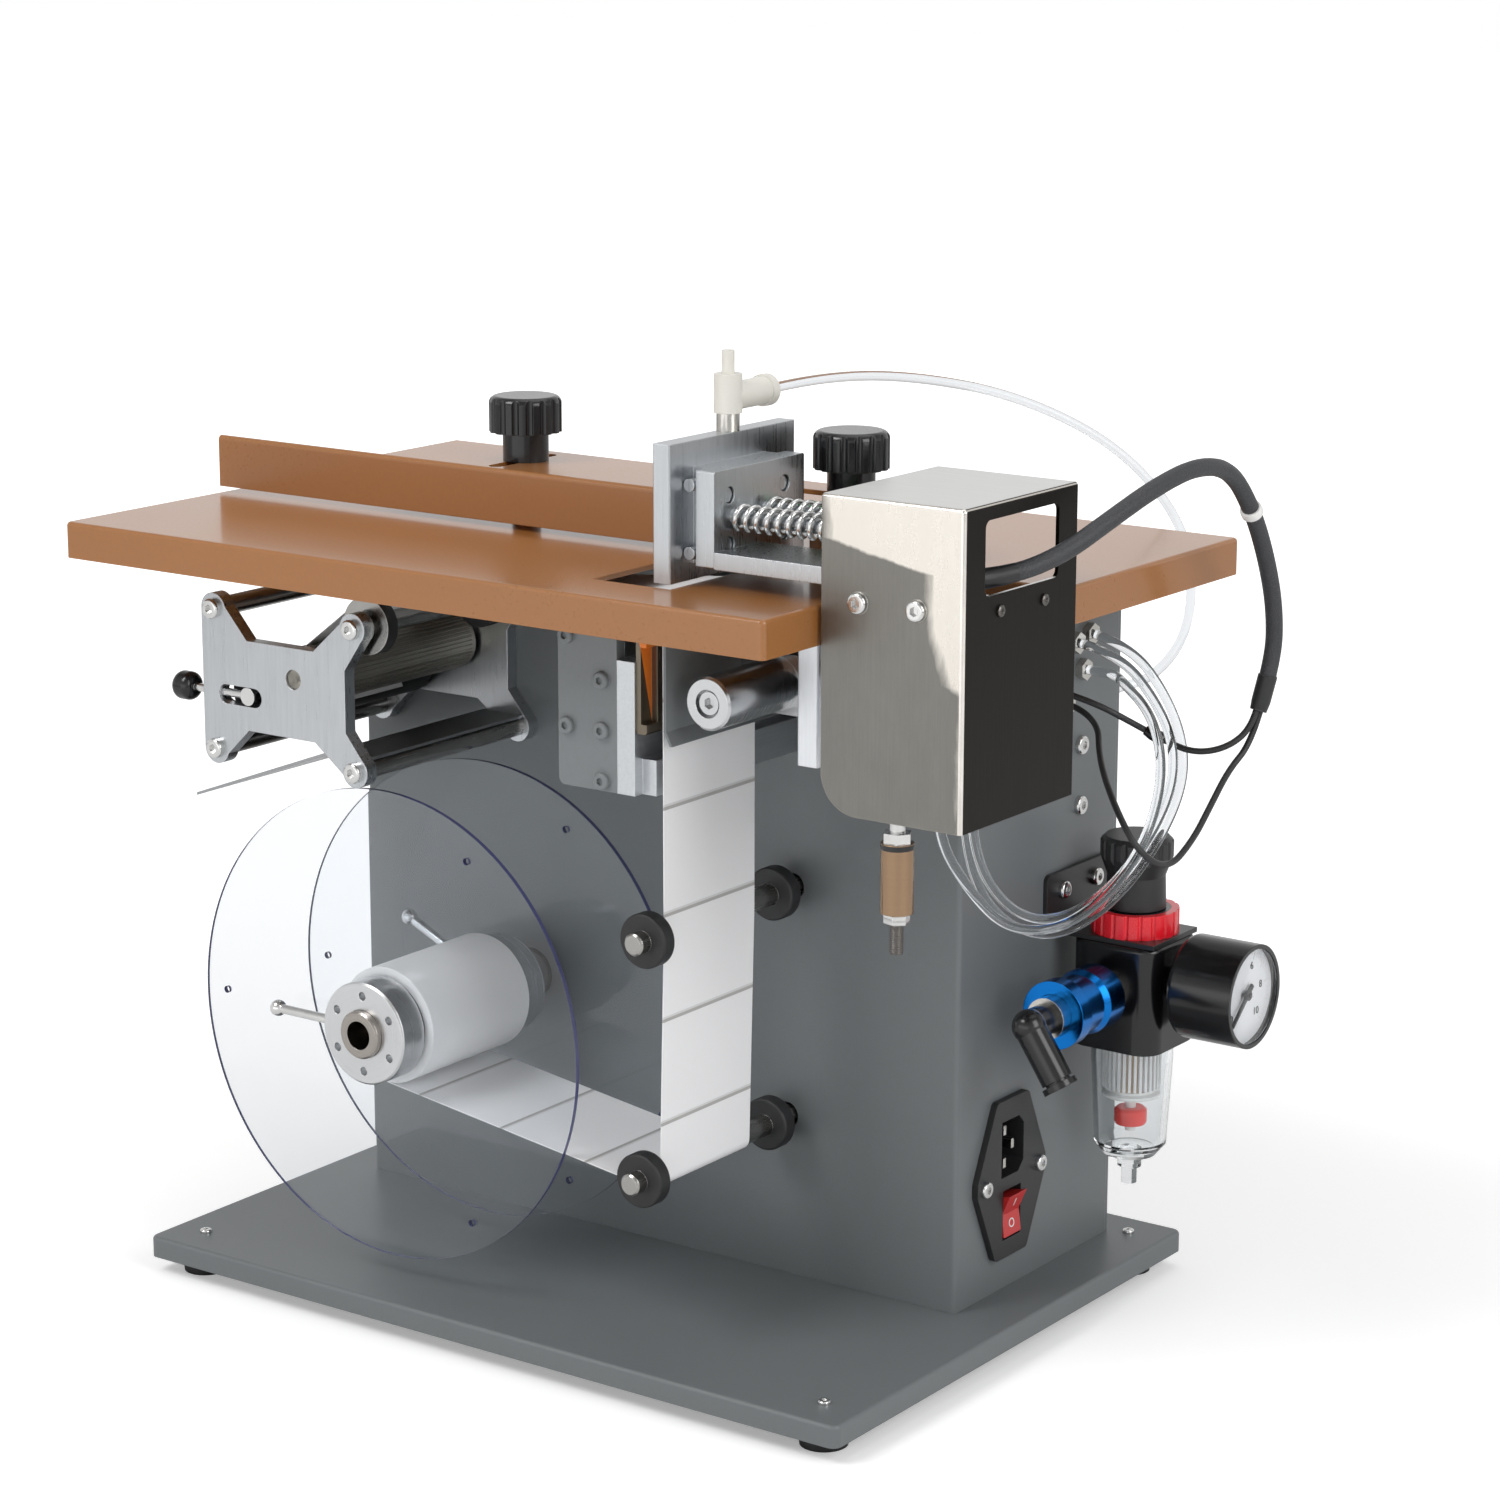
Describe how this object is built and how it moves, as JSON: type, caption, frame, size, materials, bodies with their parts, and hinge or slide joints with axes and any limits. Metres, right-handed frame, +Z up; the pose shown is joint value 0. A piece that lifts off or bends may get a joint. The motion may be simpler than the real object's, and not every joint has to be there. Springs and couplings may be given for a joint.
{
  "type": "flat labeling machine",
  "caption": "Bench-top labelling machine with a label reel, feed rollers, a fenced table, a vacuum press head in a steel cover and an air regulator on its column.",
  "frame": {"origin": "under the middle of the machine's outline, on the surface it stands on", "axes": "+X right along the front, +Y back, +Z up"},
  "size_m": [0.4435, 0.2921, 0.408],
  "materials": {
    "base_tray": "fine textured paint",
    "feet": "matt",
    "table_top": "satin bronze paint",
    "fence": "satin bronze paint",
    "left_knob": "glossy",
    "right_knob": "glossy",
    "feed_plates": "satin anodised",
    "spacer_rods": "ground",
    "deflector_sheet": "brushed",
    "drive_roller": "knurled",
    "pinch_carriage": "ground, black knob",
    "pinch_roller": "matt",
    "motor_and_bearings": "satin",
    "reel_spindle": "turned",
    "far_disc": "clear",
    "near_disc": "clear",
    "near_collar": "turned",
    "near_lever": "bright",
    "label_core": "white",
    "lower_guide": "ground, black rubber collars",
    "upper_guide": "ground, black rubber collars",
    "label_web": "matt white",
    "backing_paper": "matt white",
    "peel_side_plate": "satin",
    "peel_block": "milled",
    "label_sensor": "matt",
    "web_guide_plate": "satin",
    "stop_post": "turned",
    "carrier_plate": "milled",
    "head_frame": "milled",
    "sensor_board": "green",
    "head_cover": "brushed",
    "flow_fitting": "bright",
    "press_plates": "milled",
    "press_springs": "bright",
    "air_fitting": "white, nickel thread",
    "head_cylinder": "satin",
    "cylinder_rod": "bronze",
    "regulator_bracket": "glossy",
    "regulator_body": "glossy",
    "lock_ring": "glossy",
    "regulator_knob": "matt",
    "filter_bowl": "clear",
    "pressure_gauge": "black case, white dial",
    "gauge_needle": "matt",
    "valve_core": "nickel",
    "valve_sleeve": "blue anodised",
    "elbow_fitting": "glossy",
    "power_inlet": "matt",
    "rocker_switch": "red",
    "column_cabinet": "fine textured paint",
    "case_screws": "bright",
    "air_tube": "clear",
    "tube_loop_a": "clear",
    "tube_loop_b": "clear",
    "tube_loop_c": "clear",
    "head_cable": "matt",
    "thin_cable_a": "matt",
    "thin_cable_b": "matt",
    "cord_glands": "matt"
  },
  "bodies": {
    "machine": {"base_tray": "base_tray", "feet": "feet", "table_top": "table_top", "feed_plates": "feed_plates", "spacer_rods": "spacer_rods", "deflector_sheet": "deflector_sheet", "motor_and_bearings": "motor_and_bearings", "label_web": "label_web", "backing_paper": "backing_paper", "peel_side_plate": "peel_side_plate", "peel_block": "peel_block", "label_sensor": "label_sensor", "web_guide_plate": "web_guide_plate", "stop_post": "stop_post", "carrier_plate": "carrier_plate", "regulator_bracket": "regulator_bracket", "regulator_body": "regulator_body", "lock_ring": "lock_ring", "filter_bowl": "filter_bowl", "pressure_gauge": "pressure_gauge", "valve_core": "valve_core", "power_inlet": "power_inlet", "column_cabinet": "column_cabinet", "case_screws": "case_screws", "cord_glands": "cord_glands"},
    "head": {"head_frame": "head_frame", "sensor_board": "sensor_board", "head_cover": "head_cover", "flow_fitting": "flow_fitting", "head_cylinder": "head_cylinder", "press_springs": "press_springs", "head_cable": "head_cable", "thin_cable_a": "thin_cable_a", "thin_cable_b": "thin_cable_b", "tube_loop_a": "tube_loop_a", "tube_loop_b": "tube_loop_b", "tube_loop_c": "tube_loop_c"},
    "press": {"press_plates": "press_plates", "air_fitting": "air_fitting", "air_tube": "air_tube"},
    "cylinder_rod": {"cylinder_rod": "cylinder_rod"},
    "reel": {"reel_spindle": "reel_spindle", "far_disc": "far_disc", "label_core": "label_core"},
    "reel_clamp": {"near_disc": "near_disc", "near_collar": "near_collar"},
    "near_lever": {"near_lever": "near_lever"},
    "lower_guide": {"lower_guide": "lower_guide"},
    "upper_guide": {"upper_guide": "upper_guide"},
    "drive_roller": {"drive_roller": "drive_roller"},
    "pinch_carriage": {"pinch_carriage": "pinch_carriage"},
    "pinch_roller": {"pinch_roller": "pinch_roller"},
    "fence": {"fence": "fence"},
    "left_knob": {"left_knob": "left_knob"},
    "right_knob": {"right_knob": "right_knob"},
    "regulator_knob": {"regulator_knob": "regulator_knob"},
    "gauge_needle": {"gauge_needle": "gauge_needle"},
    "valve_sleeve": {"valve_sleeve": "valve_sleeve"},
    "elbow_fitting": {"elbow_fitting": "elbow_fitting"},
    "rocker_switch": {"rocker_switch": "rocker_switch"}
  },
  "joints": [
    {"name": "head_lift", "type": "slide", "parent": "machine", "child": "head", "axis": [0, 0, 1], "range_m": [0, 0.02]},
    {"name": "press_slide", "type": "slide", "parent": "head", "child": "press", "axis": [1, 0, 0], "range_m": [0, 0.002], "stiffness_N_per_m": 700, "springref_m": -0.006, "deforming": ["press_springs"]},
    {"name": "cylinder_stroke", "type": "slide", "parent": "head", "child": "cylinder_rod", "axis": [0, 0, -1], "range_m": [0, 0.012]},
    {"name": "reel_spin", "type": "hinge", "parent": "machine", "child": "reel", "pos_m": [-0.079, -0.12, 0.1235], "axis": [0, 1, 0], "continuous": true},
    {"name": "clamp_slide", "type": "slide", "parent": "reel", "child": "reel_clamp", "axis": [0, -1, 0], "range_m": [0, 0.06]},
    {"name": "near_lever_turn", "type": "hinge", "parent": "reel_clamp", "child": "near_lever", "pos_m": [-0.1005, -0.11, 0.1235], "axis": [-1, 0, 0], "range_deg": [0, 90]},
    {"name": "lower_guide_spin", "type": "hinge", "parent": "machine", "child": "lower_guide", "pos_m": [0.054, -0.1135, 0.085], "axis": [0, 1, 0], "continuous": true},
    {"name": "upper_guide_spin", "type": "hinge", "parent": "machine", "child": "upper_guide", "pos_m": [0.0564, -0.1135, 0.183], "axis": [0, 1, 0], "continuous": true},
    {"name": "drive_spin", "type": "hinge", "parent": "machine", "child": "drive_roller", "pos_m": [-0.114, -0.115, 0.266], "axis": [0, 1, 0], "continuous": true},
    {"name": "pinch_release", "type": "slide", "parent": "machine", "child": "pinch_carriage", "axis": [-1, 0, 0], "range_m": [0, 0.008], "stiffness_N_per_m": 900, "springref_m": -0.004},
    {"name": "pinch_spin", "type": "hinge", "parent": "pinch_carriage", "child": "pinch_roller", "pos_m": [-0.13985, -0.115, 0.2555], "axis": [0, 1, 0], "continuous": true},
    {"name": "fence_slide", "type": "slide", "parent": "machine", "child": "fence", "axis": [0, 1, 0], "range_m": [-0.0015, 0.016]},
    {"name": "left_knob_turn", "type": "hinge", "parent": "machine", "child": "left_knob", "pos_m": [-0.0724, -0.0155, 0.347], "axis": [0, 0, 1], "range_deg": [0, 340]},
    {"name": "right_knob_turn", "type": "hinge", "parent": "machine", "child": "right_knob", "pos_m": [0.09, -0.0155, 0.347], "axis": [0, 0, 1], "range_deg": [0, 340]},
    {"name": "regulator_turn", "type": "hinge", "parent": "machine", "child": "regulator_knob", "pos_m": [0.165, 0.084, 0.172], "axis": [0, 0, 1], "range_deg": [-180, 180]},
    {"name": "needle_turn", "type": "hinge", "parent": "machine", "child": "gauge_needle", "pos_m": [0.2165, 0.084, 0.143], "axis": [-1, 0, 0], "range_deg": [0, 270]},
    {"name": "valve_slide", "type": "slide", "parent": "machine", "child": "valve_sleeve", "axis": [0, 1, 0], "range_m": [0, 0.008]},
    {"name": "elbow_swivel", "type": "hinge", "parent": "machine", "child": "elbow_fitting", "pos_m": [0.165, 0.014, 0.141], "axis": [0, 1, 0], "range_deg": [-120, 60]},
    {"name": "rocker_rock", "type": "hinge", "parent": "machine", "child": "rocker_switch", "pos_m": [0.136, 0.032, 0.0495], "axis": [0, -1, 0], "range_deg": [0, 12]}
  ],
  "couplings": [
    {"joint": "pinch_spin", "follows": "drive_spin", "ratio": -0.8}
  ]
}
